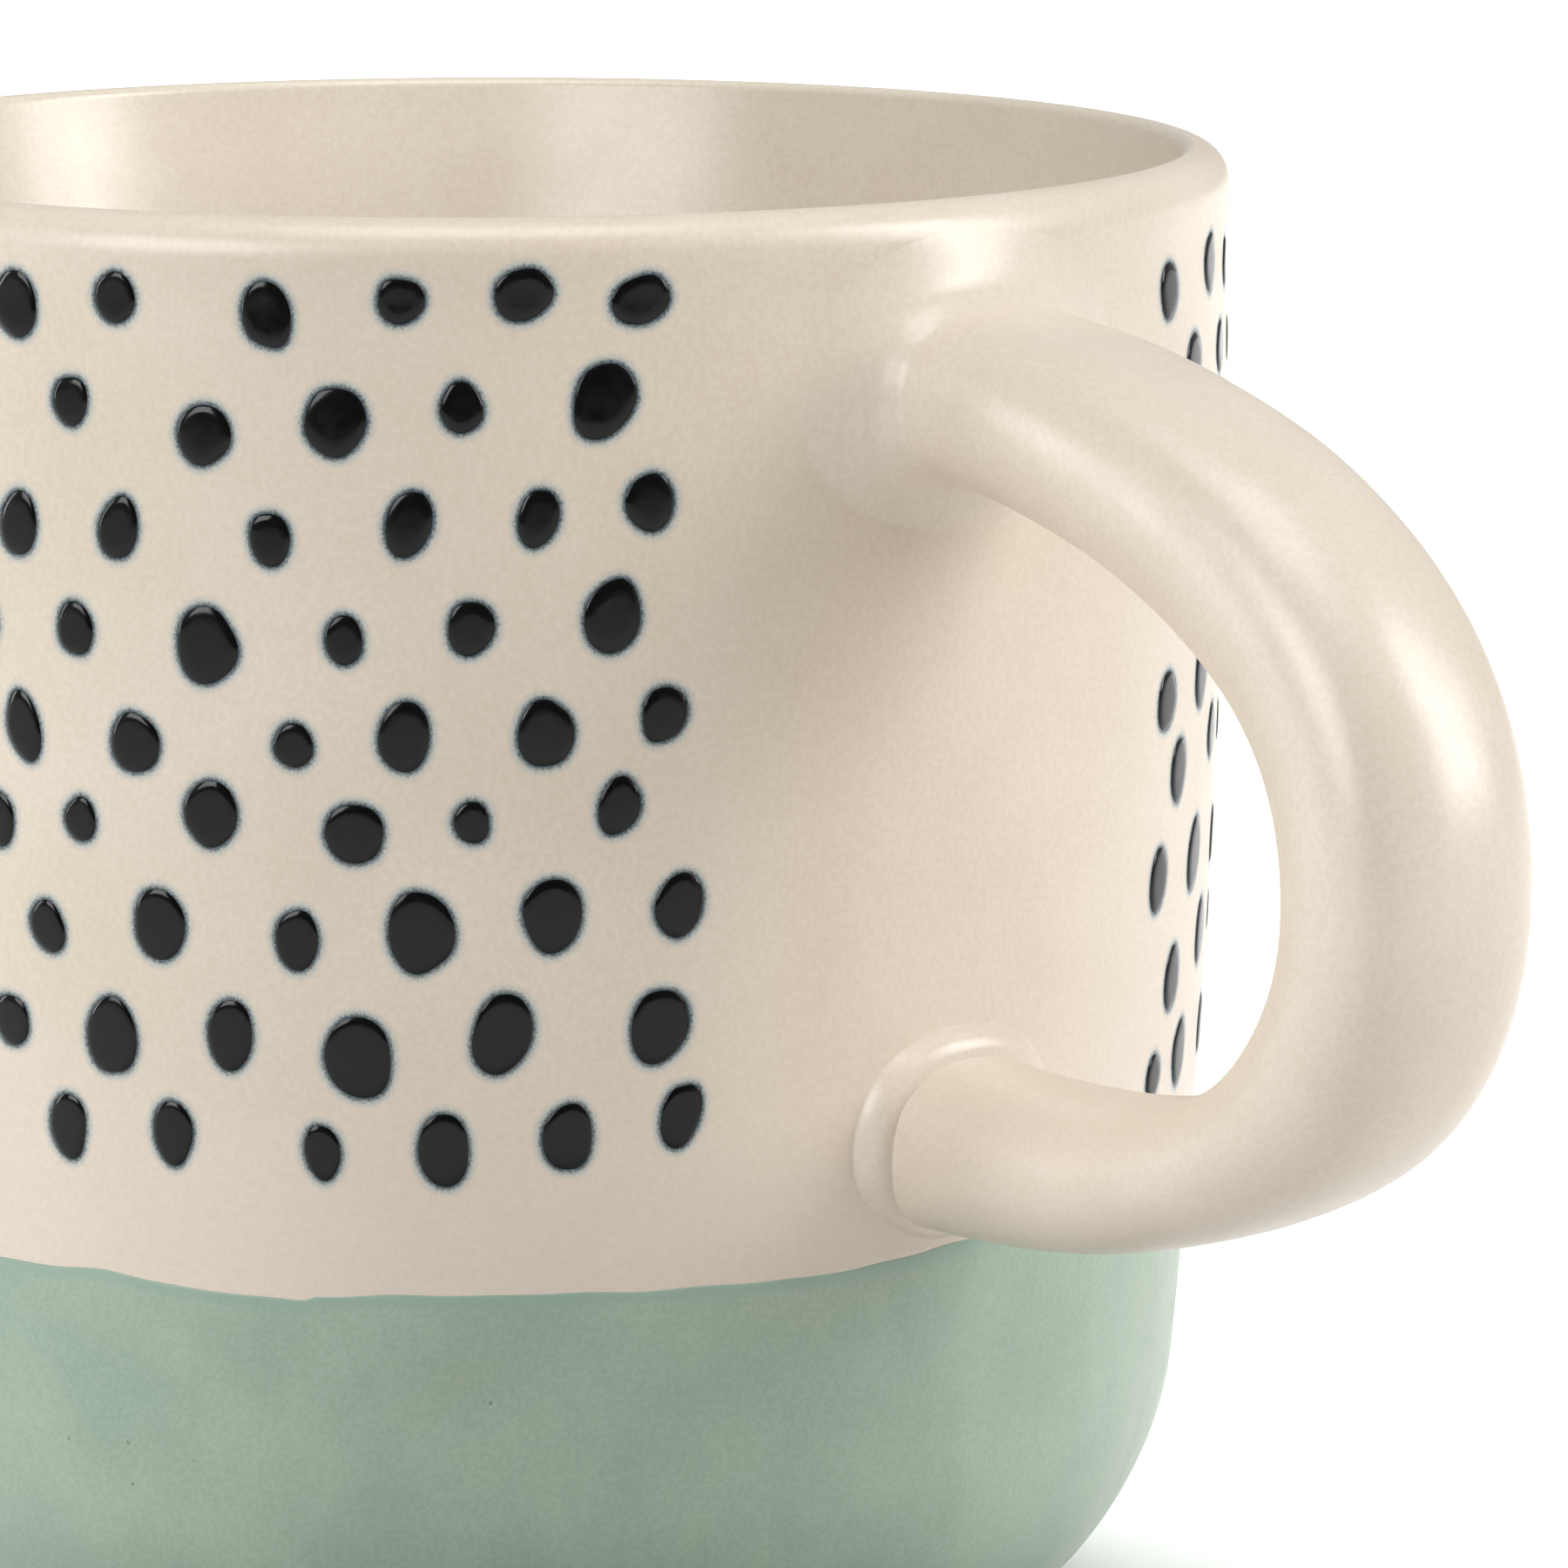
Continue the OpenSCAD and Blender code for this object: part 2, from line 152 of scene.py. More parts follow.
def outer_radius(z):
    """Radius of the glazed outside at height z, from the foot up to the lip's crest."""
    z = np.asarray(z, float)
    swell = lip_swell * np.exp(-((np.minimum(z, lip_z) - lip_z) / (1.7 * MM)) ** 2)
    wall = wall_radius(np.clip(z, outside_tangent_z, lip_z)) + swell
    above = np.clip(z - lip_z, 0, lip_r)
    lip = lip_centre_r + np.sqrt(np.maximum(lip_r ** 2 - above ** 2, 0))
    below = np.clip(corner_z - z, -corner_r, corner_r)
    corner = outside_corner_r + np.sqrt(np.maximum(corner_r ** 2 - below ** 2, 0))
    return np.where(z > lip_z, lip, np.where(z < outside_tangent_z, corner, wall))


# ---------------------------------------------------------------- the hand in the clay

def wave_field(points, scale, seed, stretch=1.0):
    """Smooth noise from -1 to 1 at points, its features about this big and drawn out upwards by stretch."""
    shift = Vector((seed * 7.31, seed * 3.17, seed * 5.73))
    return np.array([
        noise.noise(Vector((x / scale, y / scale, z / (scale * stretch))) + shift) for x, y, z in points
    ])


def dents(points):
    """How far the hand-finished surface lies inside the true one: soft flats, deeper in the green dip."""
    low_part = 1 - smooth_step(26 * MM, 36 * MM, points[:, 2])
    away_from_foot = smooth_step(3 * MM, 9 * MM, points[:, 2])
    broad = 0.5 + 0.5 * wave_field(points, 24 * MM, 1)
    strokes = 0.5 + 0.5 * wave_field(points, 8.5 * MM, 2, 1.9)
    return (0.10 * MM * broad + (0.03 * MM + 0.17 * MM * low_part) * strokes) * away_from_foot


def skin(turn, z, lift=0.0):
    """Points on the finished outside at these angles and heights, standing off it by lift."""
    turn = np.asarray(turn, float)
    z = np.asarray(z, float)
    step = 0.02 * MM
    slope = (outer_radius(z + step) - outer_radius(z - step)) / (2 * step)
    length = np.sqrt(1 + slope ** 2)
    r = outer_radius(z)
    base = np.stack([r * np.cos(turn), r * np.sin(turn), z], axis=-1).reshape(-1, 3)
    out = np.broadcast_to(lift, z.shape).reshape(-1) - dents(base)
    n_r = (1 / length).reshape(-1)
    n_z = (-slope / length).reshape(-1)
    flat_turn = np.broadcast_to(turn, z.shape).reshape(-1)
    normal = np.stack([n_r * np.cos(flat_turn), n_r * np.sin(flat_turn), n_z], axis=-1)
    return (base + normal * out[:, None]).reshape(z.shape + (3,))


# ---------------------------------------------------------------- meshes

def make_object(name, points, faces, material, sharp_angle=55, closed=True):
    """A smooth-shaded mesh object. Where it is closed, all its faces are turned outwards."""
    mesh = bpy.data.meshes.new(name)
    mesh.from_pydata([tuple(p) for p in points], [], faces)
    mesh.validate()
    if closed:
        shell = bmesh.new()
        shell.from_mesh(mesh)
        bmesh.ops.recalc_face_normals(shell, faces=shell.faces)
        shell.to_mesh(mesh)
        shell.free()
    mesh.shade_smooth()
    mesh.set_sharp_from_angle(angle=math.radians(sharp_angle))
    mesh.materials.append(material)
    obj = bpy.data.objects.new(name, mesh)
    bpy.context.scene.collection.objects.link(obj)
    return obj


def add_attribute(obj, name, values):
    attribute = obj.data.attributes.new(name, "FLOAT", "POINT")
    attribute.data.foreach_set("value", np.asarray(values, np.float32))


def grid_faces(rows, columns, start=0, close_rows=False):
    """Quads between rows of points that run round and close on themselves."""
    faces = []
    for i in range(rows if close_rows else rows - 1):
        a = start + i * columns
        b = start + ((i + 1) % rows) * columns
        for j in range(columns):
            k = (j + 1) % columns
            faces.append((a + j, b + j, b + k, a + k))
    return faces


def turned_solid(path, columns, bumps=None):
    """Points and faces of a section turned about the axis. The path of (radius, height) closes on itself,
    or starts and ends on the axis."""
    poles = path[0][0] == 0
    ring_path = path[1:-1] if poles else path
    turns = np.linspace(0, 2 * math.pi, columns, endpoint=False)
    points = []
    for r, z in ring_path:
        points += [(r * math.cos(t), r * math.sin(t), z) for t in turns]
    points = np.array(points)
    if bumps is not None:
        points = points + bumps(points)
    rows = len(ring_path)
    faces = grid_faces(rows, columns, close_rows=not poles)
    if poles:
        points = np.vstack([points, (0, 0, path[0][1]), (0, 0, path[-1][1])])
        first, last = rows * columns, rows * columns + 1
        low = (rows - 1) * columns
        faces += [(first, j, (j + 1) % columns) for j in range(columns)]
        faces += [(last, low + (j + 1) % columns, low + j) for j in range(columns)]
    return points, faces


def arc(centre_r, centre_z, r, start, end, count):
    """Points of an arc, its ends included, with angles in degrees from straight outwards."""
    angles = [math.radians(start + (end - start) * i / (count - 1)) for i in range(count)]
    return [(centre_r + r * math.cos(a), centre_z + r * math.sin(a)) for a in angles]


def outside_path(high_z, low_z, step, inset=0.0):
    """The wall's outer face from high_z down to low_z, both below the lip."""
    count = max(2, int(round((high_z - low_z) / step)) + 1)
    heights = np.linspace(high_z, low_z, count)
    return [(float(outer_radius(z)) - inset, float(z)) for z in heights]


# ---------------------------------------------------------------- materials

class Paint:
    """Builds one procedural material, node by node."""

    def __init__(self, name):
        self.material = bpy.data.materials.new(name)
        self.material.use_nodes = True
        self.tree = self.material.node_tree
        self.shader = self.tree.nodes["Principled BSDF"]
        self.place = self.node("ShaderNodeTexCoord").outputs["Object"]

    def node(self, kind, **settings):
        made = self.tree.nodes.new(kind)
        for key, value in settings.items():
            setattr(made, key, value)
        return made

    def link(self, source, target):
        self.tree.links.new(source, target)

    def noise(self, size, detail=2.0, place=None, roughness=0.5):
        """Noise from 0 to 1 whose features are about this size, in metres."""
        made = self.node("ShaderNodeTexNoise")
        made.inputs["Scale"].default_value = 1 / size
        made.inputs["Detail"].default_value = detail
        made.inputs["Roughness"].default_value = roughness
        self.link(place or self.place, made.inputs["Vector"])
        return made.outputs["Fac"]

    def stretched(self, x, y, z):
        """The place with each direction drawn out by these factors."""
        made = self.node("ShaderNodeVectorMath", operation="MULTIPLY")
        self.link(self.place, made.inputs[0])
        made.inputs[1].default_value = (1 / x, 1 / y, 1 / z)
        return made.outputs[0]

    def spread(self, value, low, high, to_low=0.0, to_high=1.0):
        """The value's part between low and high, spread smoothly over to_low to to_high."""
        made = self.node("ShaderNodeMapRange", interpolation_type="SMOOTHSTEP")
        self.link(value, made.inputs["Value"])
        made.inputs["From Min"].default_value = low
        made.inputs["From Max"].default_value = high
        made.inputs["To Min"].default_value = to_low
        made.inputs["To Max"].default_value = to_high
        return made.outputs["Result"]

    def math(self, operation, a, b):
        made = self.node("ShaderNodeMath", operation=operation)
        for socket, value in zip(made.inputs, (a, b)):
            if isinstance(value, (int, float)):
                socket.default_value = value
            else:
                self.link(value, socket)
        return made.outputs[0]

    def mix(self, factor, a, b, blend="MIX"):
        """Two colours mixed by a factor."""
        made = self.node("ShaderNodeMix", data_type="RGBA", blend_type=blend)
        for index, value in ((0, factor), (6, a), (7, b)):
            if isinstance(value, (int, float)):
                made.inputs[index].default_value = value
            elif isinstance(value, tuple):
                made.inputs[index].default_value = (*value, 1)
            else:
                self.link(value, made.inputs[index])
        return made.outputs[2]

    def specks(self, size, radius, amount):
        """Sparse round specks: 1 inside them, 0 elsewhere. About this share of the cells holds one."""
        cells = self.node("ShaderNodeTexVoronoi", feature="F1")
        cells.inputs["Scale"].default_value = 1 / size
        self.link(self.place, cells.inputs["Vector"])
        chosen = self.node("ShaderNodeSeparateColor")
        self.link(cells.outputs["Color"], chosen.inputs[0])
        near = self.spread(cells.outputs["Distance"], 0.5 * radius / size, 1.2 * radius / size, 1, 0)
        picked = self.math("LESS_THAN", chosen.outputs[0], amount)
        return self.math("MULTIPLY", near, picked)

    def attribute(self, name):
        made = self.node("ShaderNodeAttribute", attribute_name=name)
        return made.outputs["Fac"]

    def height_above_table(self):
        made = self.node("ShaderNodeSeparateXYZ")
        self.link(self.place, made.inputs[0])
        return made.outputs[2]

    def bump(self, layers):
        """Relief from (height, depth in metres) layers."""
        total = None
        for value, depth in layers:
            scaled = self.math("MULTIPLY", value, depth)
            total = scaled if total is None else self.math("ADD", total, scaled)
        made = self.node("ShaderNodeBump")
        made.inputs["Distance"].default_value = 1
        made.inputs["Strength"].default_value = 1
        self.link(total, made.inputs["Height"])
        self.link(made.outputs["Normal"], self.shader.inputs["Normal"])

    def finish(self, colour, roughness, **fixed):
        self.link(colour, self.shader.inputs["Base Color"])
        self.link(roughness, self.shader.inputs["Roughness"])
        for key, value in fixed.items():
            self.shader.inputs[key.replace("_", " ")].default_value = value
        return self.material


def cream_paint(name, light, dark, roughness, ior, with_halos=False):
    """Satin cream glaze with faint clouds, fine grain, a few iron specks and a warm tint low down."""
    p = Paint(name)
    clouds = p.spread(p.noise(16 * MM, 3), 0.3, 0.7)
    colour = p.mix(clouds, dark, light)
    grain = p.spread(p.noise(0.36 * MM, 2), 0.3, 0.7)
    colour = p.mix(p.math("MULTIPLY", grain, 0.18), colour, (0.68, 0.60, 0.48), "MULTIPLY")
    low = p.spread(p.height_above_table(), dip_z, dip_z + 22 * MM, 0.35, 0)
    colour = p.mix(low, colour, (0.76, 0.66, 0.58))
    colour = p.mix(p.math("MULTIPLY", p.specks(2.6 * MM, 0.09 * MM, 0.05), 0.5), colour, (0.30, 0.20, 0.12))
    if with_halos:
        edge = p.attribute("spot_edge")
        ragged = p.math("MULTIPLY", p.math("SUBTRACT", p.noise(0.16 * MM, 3, roughness=0.8), 0.5), 0.55)
        distance = p.math("ADD", edge, ragged)
        colour = p.mix(p.spread(distance, 0.1, 0.7, 0.8, 0), colour, (0.40, 0.46, 0.46))
        colour = p.mix(p.spread(distance, 0.0, 0.34), (0.04, 0.075, 0.10), colour)
        colour = p.mix(p.spread(distance, -0.12, 0.08), (0.012, 0.014, 0.016), colour)
    p.bump([(p.noise(1.9 * MM, 1), 0.004 * MM)])
    satin = p.spread(p.noise(3 * MM, 2), 0.25, 0.75, roughness - 0.025, roughness + 0.025)
    return p.finish(colour, satin, IOR=ior)


def green_paint():
    """Satin celadon glaze: clouded, grained, with dark specks and a deeper band along its upper edge."""
    p = Paint("celadon_glaze")
    clouds = p.spread(p.noise(8 * MM, 3, p.stretched(1, 1, 1.2)), 0.3, 0.7)
    colour = p.mix(clouds, (0.35, 0.455, 0.36), (0.41, 0.505, 0.40))
    cool = p.spread(p.noise(15 * MM, 2), 0.5, 0.75, 0, 0.4)
    colour = p.mix(cool, colour, (0.33, 0.43, 0.365))
    warm = p.spread(p.noise(11 * MM, 2, p.stretched(1.3, 0.9, 1)), 0.55, 0.8, 0, 0.4)
    colour = p.mix(warm, colour, (0.40, 0.44, 0.33))
    grain = p.spread(p.noise(0.3 * MM, 2), 0.3, 0.7)
    colour = p.mix(p.math("MULTIPLY", grain, 0.35), colour, (0.66, 0.72, 0.67), "MULTIPLY")
    band = p.spread(p.attribute("below_line"), 0.3, 1.0, 0.6, 0)
    colour = p.mix(band, colour, (0.29, 0.42, 0.35))
    colour = p.mix(p.math("MULTIPLY", p.specks(1.9 * MM, 0.13 * MM, 0.1), 0.6), colour, (0.10, 0.12, 0.09))
    p.bump([(p.noise(2.2 * MM, 1), 0.012 * MM)])
    satin = p.spread(p.noise(3 * MM, 3), 0.25, 0.75, 0.3, 0.4)
    return p.finish(colour, satin, IOR=1.5)


def black_paint():
    """Glossy black glaze with a faint skin of its own."""
    p = Paint("black_glaze")
    colour = p.mix(p.noise(0.5 * MM, 2), (0.002, 0.002, 0.002), (0.006, 0.006, 0.006))
    p.bump([(p.noise(1.1 * MM, 2), 0.006 * MM)])
    gloss = p.spread(p.noise(1.2 * MM, 2), 0.3, 0.7, 0.1, 0.18)
    return p.finish(colour, gloss, IOR=1.4)


def clay_paint():
    """Bare fired stoneware: buff, matt and gritty, with turning rings and iron specks."""
    p = Paint("bare_stoneware")
    flat = p.node("ShaderNodeVectorMath", operation="MULTIPLY")
    p.link(p.place, flat.inputs[0])
    flat.inputs[1].default_value = (1, 1, 0)
    radius = p.node("ShaderNodeVectorMath", operation="LENGTH")
    p.link(flat.outputs[0], radius.inputs[0])
    rings = p.node("ShaderNodeTexNoise", noise_dimensions="1D")
    rings.inputs["Scale"].default_value = 1 / (0.5 * MM)
    p.link(radius.outputs["Value"], rings.inputs["W"])
    colour = p.mix(p.spread(p.noise(4 * MM, 3), 0.3, 0.7), (0.52, 0.40, 0.28), (0.62, 0.50, 0.36))
    colour = p.mix(p.math("MULTIPLY", p.noise(0.3 * MM, 3), 0.5), colour, (0.7, 0.62, 0.5), "MULTIPLY")
    colour = p.mix(p.math("MULTIPLY", p.specks(1.5 * MM, 0.2 * MM, 0.2), 0.7), colour, (0.16, 0.10, 0.06))
    p.bump([(rings.outputs["Fac"], 0.04 * MM), (p.noise(0.25 * MM, 3), 0.03 * MM)])
    return p.finish(colour, p.spread(p.noise(1 * MM, 2), 0.3, 0.7, 0.8, 0.95))


cream_outside = cream_paint(
    "cream_glaze", (0.79, 0.70, 0.59), (0.74, 0.65, 0.53), 0.33, 1.68, with_halos=True
)
cream_handle = cream_paint("cream_glaze_handle", (0.79, 0.705, 0.60), (0.74, 0.655, 0.54), 0.33, 1.68)
# Painted light: the inside's copy of the cream glaze is given a lighter colour than the outside's, standing
# in for the light that falls into the cup and bounces about in it
cream_inside_painted_lighter = cream_paint("cream_glaze_inside_painted_lighter", (0.805, 0.735, 0.625), (0.765, 0.69, 0.57), 0.26, 1.6)
celadon = green_paint()
gloss_black = black_paint()
stoneware = clay_paint()

# ---------------------------------------------------------------- spots, read from the frame

def islands(obj):
    """The separate solids of a node, each as an array of its points."""
    coordinates = np.array([v.co for v in obj.data.vertices])
    rounded = np.round(coordinates / (0.001 * MM)).astype(int)
    keys = {}
    same = [keys.setdefault(tuple(c), i) for i, c in enumerate(rounded)]
    parent = list(range(len(coordinates)))

    def root(i):
        while parent[i] != i:
            parent[i] = parent[parent[i]]
            i = parent[i]
        return i

    for polygon in obj.data.polygons:
        first = root(same[polygon.vertices[0]])
        for v in polygon.vertices:
            parent[root(same[v])] = first
    groups = {}
    for i in sorted(set(same)):
        groups.setdefault(root(i), []).append(coordinates[i])
    return [np.array(g) for g in groups.values()]


class Spot:
    """One painted spot: where it is, its half sizes and its lean, and its own slightly uneven outline."""

    def __init__(self, points, chance):
        radii = np.hypot(points[:, 0], points[:, 1])
        base = points[radii < radii.mean()]
        turns = np.arctan2(base[:, 1], base[:, 0])
        middle = math.atan2(np.sin(turns).mean(), np.cos(turns).mean())
        self.turn = middle
        self.z = base[:, 2].mean()
        self.r = float(outer_radius(self.z))
        across = (np.mod(turns - middle + math.pi, 2 * math.pi) - math.pi) * self.r
        up = base[:, 2] - self.z
        values, axes = np.linalg.eigh(np.cov(across, up, bias=True))
        self.half = np.sqrt(2 * values)
        self.axes = axes
        self.uneven = [(n, chance.uniform(0.3, 1) * size, chance.uniform(0, 2 * math.pi))
                       for n, size in ((1, 0.035), (2, 0.03), (3, 0.045), (4, 0.02), (5, 0.012))]

    def outline(self, angle):
        """The outline's size in a direction, as a share of the true oval's."""
        return 1 + sum(size * np.sin(n * angle + phase) for n, size, phase in self.uneven)

    def edge_distance(self, across, up):
        """Distance outside the outline, along the line from the spot's middle."""
        local = np.stack([across, up], -1) @ self.axes
        share = np.sqrt(((local / self.half) ** 2).sum(-1)) + 1e-9
        angle = np.arctan2(local[:, 1] / self.half[1], local[:, 0] / self.half[0])
        return np.hypot(across, up) * (1 - self.outline(angle) / share)

    def place(self, share, angle):
        """Turn and height of a point at a share of the way from the middle to the outline."""
        size = share * self.outline(angle)
        local = np.stack([self.half[0] * size * np.cos(angle), self.half[1] * size * np.sin(angle)], -1)
        flat = local @ self.axes.T
        return self.turn + flat[..., 0] / self.r, self.z + flat[..., 1]


chance = random.Random(4)
front_spots = [Spot(points, chance) for points in islands(nodes["spots_front"])]
back_spots = [Spot(points, chance) for points in islands(nodes["spots_back"])]

spot_rise = 0.14 * MM
spot_root = -0.15 * MM
spot_sides = 28


def spot_solids(spots):
    """Points and faces of low domes with rounded edges, each closed underneath within the glaze."""
    shares = np.array([0.0, 0.5, 0.72, 0.84, 0.92, 0.975, 1.0])
    lifts = spot_rise * (1 - shares ** 9) - 0.01 * MM
    angles = np.linspace(0, 2 * math.pi, spot_sides, endpoint=False)
    turns, heights, lift = [], [], []
    for spot in spots:
        for share, rise in list(zip(shares, lifts))[1:] + [(1.0, spot_root)]:
            t, z = spot.place(share, angles)
            turns.append(t)
            heights.append(z)
            lift.append(np.full(spot_sides, rise))
        turns.append([spot.turn] * 2)
        heights.append([spot.z] * 2)
        lift.append([lifts[0], spot_root])
    points = skin(np.concatenate(turns), np.concatenate(heights), np.concatenate(lift))
    rows = len(shares)
    each = rows * spot_sides + 2
    faces = []
    for i in range(len(spots)):
        start = i * each
        faces += grid_faces(rows, spot_sides, start)
        top, under = start + rows * spot_sides, start + rows * spot_sides + 1
        last = start + (rows - 1) * spot_sides
        for j in range(spot_sides):
            k = (j + 1) % spot_sides
            faces.append((top, start + j, start + k))
            faces.append((under, last + k, last + j))
    return points, faces


# ---------------------------------------------------------------- the cup

# The line where the green dip ends: gentle waves, and one small step
line_turns = [-90, -76, -68, -60, -51.6, -50.8, -45, -36, -17, -9, -5, -1, 3, 8, 20]
line_rises = [0.1, 0.15, 0.4, -0.12, -0.42, -0.1, 0.08, 0.13, 0.0, 0.02, 0.3, 0.6, 0.6, 0.3, 0.05]


def line_rise(turn):
    """How far the glaze line stands above the dip's height at this angle."""
    degrees = np.degrees(np.mod(np.asarray(turn) + math.pi, 2 * math.pi) - math.pi)
    seen = np.interp(degrees, line_turns, line_rises)
    slow = 0.22 * np.sin(np.radians(3 * degrees + 40)) + 0.12 * np.sin(np.radians(7 * degrees))
    weight = smooth_step(-110, -90, degrees) * (1 - smooth_step(20, 45, degrees))
    ripple = 0.035 * np.sin(np.radians(31 * degrees)) + 0.03 * np.sin(np.radians(47 * degrees + 60))
    return (seen * weight + slow * (1 - weight) + ripple) * MM


def make_clay():
    """The cup's clay, with its bare foot ring turned to soft edges."""
    recess_r = foot_r - foot_w
    soft = 0.45 * MM
    path = [(0, recess_h)]
    path += [(r, recess_h) for r in np.linspace(2 * MM, recess_r - soft, 14)]
    path += arc(recess_r - soft, recess_h - soft, soft, 90, 0, 6)[1:]
    path += arc(recess_r + soft, soft, soft, 180, 270, 7)
    path += [(r, 0) for r in np.linspace(recess_r + 3 * soft, foot_r - 3 * soft, 4)]
    path += arc(foot_r - soft, soft, soft, -90, 0, 7)
    path += [(foot_r, foot_h + glaze_t)]
    corner = arc(outside_corner_r, corner_z, corner_r - glaze_t, -60, 0, 12)
    path += [p for p in corner if p[0] > foot_r + MM and foot_h + glaze_t < p[1] < outside_tangent_z]
    path += list(reversed(outside_path(lip_z, outside_tangent_z, 3 * MM, glaze_t)))
    path += arc(lip_centre_r, lip_z, lip_r - glaze_t, 0, 90, 8)[1:]
    inner = np.linspace(height - 1.3 * MM, inside_tangent_z, 40)
    path += [(float(inside_radius(z, glaze_t)), float(z)) for z in inner]
    path += arc(inside_corner_r0, inside_corner_z, inside_corner_r + glaze_t, -4, -90, 12)
    path += [(0, floor_z - glaze_t)]

    def cut_marks(points):
        """Shallow turning marks, cut into the foot and its recess only."""
        r = np.hypot(points[:, 0], points[:, 1])
        under = (points[:, 2] > 1.9 * MM) & (points[:, 2] < 2.5 * MM) & (r < foot_r)
        moved = np.zeros_like(points)
        moved[:, 2] = np.where(under, 0.05 * MM * (1 + np.sin(r / (0.55 * MM))), 0)
        return moved

    points, faces = turned_solid(path, 240, cut_marks)
    return make_object("cup_clay", points, faces, stoneware)


def make_liner():
    """The coat of glaze inside, from the crest of the lip down to the floor."""
    seen = [(0, floor_z)]
    seen += [(r, floor_z) for r in np.linspace(1.5 * MM, inside_corner_r0, 14)]
    seen += arc(inside_corner_r0, inside_corner_z, inside_corner_r, -90, -4, 22)[1:]
    walls = np.linspace(inside_tangent_z, height - 1.1 * MM, 64)
    seen += [(float(inside_radius(z, 0)), float(z)) for z in walls]
    seen += arc(lip_centre_r, height - crest_r, crest_r, 172, 90, 9)
    under = [(lip_centre_r, height - glaze_t)]
    under += [(float(inside_radius(z, glaze_t)), float(z))
              for z in np.linspace(height - 1.3 * MM, inside_tangent_z, 40)]
    under += arc(inside_corner_r0, inside_corner_z, inside_corner_r + glaze_t, -4, -90, 12)
    under += [(0, floor_z - glaze_t)]

    def thrown(points):
        """Faint throwing rings and a slightly uneven wall, outwards from the hollow."""
        r = np.hypot(points[:, 0], points[:, 1]) + 1e-9
        turn = np.arctan2(points[:, 1], points[:, 0])
        z = points[:, 2]
        on_wall = smooth_step(22 * MM, 34 * MM, z) * (1 - smooth_step(82 * MM, 89 * MM, z))
        rings = np.sin((z + 0.9 * MM * turn) / (1.35 * MM))
        out = on_wall * (0.018 * MM * (1 + rings) + 0.06 * MM * (1 + wave_field(points, 26 * MM, 5)))
        return np.stack([points[:, 0] / r * out, points[:, 1] / r * out, np.zeros(len(points))], -1)

    points, faces = turned_solid(seen + under, 300, thrown)
    return make_object("liner_coat", points, faces, cream_inside_painted_lighter)


def make_cream():
    """The cream coat outside, from the lip's crest to just under the green one, with the spots' halos."""
    overlap = 2.2 * MM
    columns = 600
    lip = arc(lip_centre_r, lip_z, lip_r, 90, 0, 13)
    seen = lip[:-1] + outside_path(lip_z, dip_z - overlap, 0.48 * MM)
    under = list(reversed(outside_path(lip_z, dip_z - overlap, 3 * MM, glaze_t)))
    under += arc(lip_centre_r, lip_z, lip_r - glaze_t, 0, 90, 6)[1:]
    path = seen + under

    def shaped(points):
        """The dents of the outside, inwards, fading out on the lip."""
        r = np.hypot(points[:, 0], points[:, 1])
        depth = dents(points) * (1 - smooth_step(lip_z, height, points[:, 2]))
        return np.stack([-points[:, 0] / r * depth, -points[:, 1] / r * depth, np.zeros(len(points))], -1)

    points, faces = turned_solid(path, columns, shaped)
    coat = make_object("cream_coat", points, faces, cream_outside)

    # Distance in millimetres outside the nearest spot's outline, at most far
    turns = np.arctan2(points[:, 1], points[:, 0])
    far = 5.0
    reach = 6 * MM
    edge = np.full(len(points), far)
    for spot in front_spots + back_spots:
        across = (np.mod(turns - spot.turn + math.pi, 2 * math.pi) - math.pi) * spot.r
        up = points[:, 2] - spot.z
        near = np.flatnonzero((np.abs(across) < reach) & (np.abs(up) < reach))
        found = spot.edge_distance(across[near], up[near]) / MM
        edge[near] = np.minimum(edge[near], found)
    add_attribute(coat, "spot_edge", edge)
    return coat


